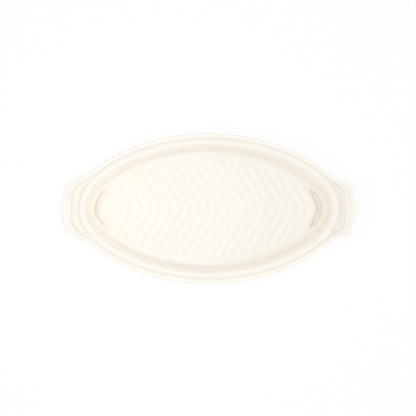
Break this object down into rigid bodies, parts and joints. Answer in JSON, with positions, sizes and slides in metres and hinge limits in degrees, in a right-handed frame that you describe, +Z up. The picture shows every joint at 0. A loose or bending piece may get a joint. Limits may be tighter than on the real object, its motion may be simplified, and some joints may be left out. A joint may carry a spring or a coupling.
{
  "type": "oval baking dish",
  "caption": "Long pointed-oval glazed stoneware baking dish for whole fish, with a herringbone ribbed floor, a stepped rim and a lug handle at each end.",
  "frame": {"origin": "on the table, under the middle of the dish", "axes": "+X along the dish, the way the chevrons of the floor point; +Y across it; +Z up"},
  "size_m": [0.412, 0.2094, 0.051],
  "materials": {
    "bare_clay": "matt fired stoneware, pale buff, bare only on the foot ring",
    "inside_glaze": "glossy cream glaze, fired on",
    "outside_glaze": "glossy cream glaze, fired on"
  },
  "bodies": {
    "root": {"stoneware_body": "bare_clay", "left_handle": "bare_clay", "right_handle": "bare_clay", "inside_glaze": "inside_glaze", "outside_glaze": "outside_glaze", "underside_glaze": "outside_glaze"}
  },
  "joints": []
}
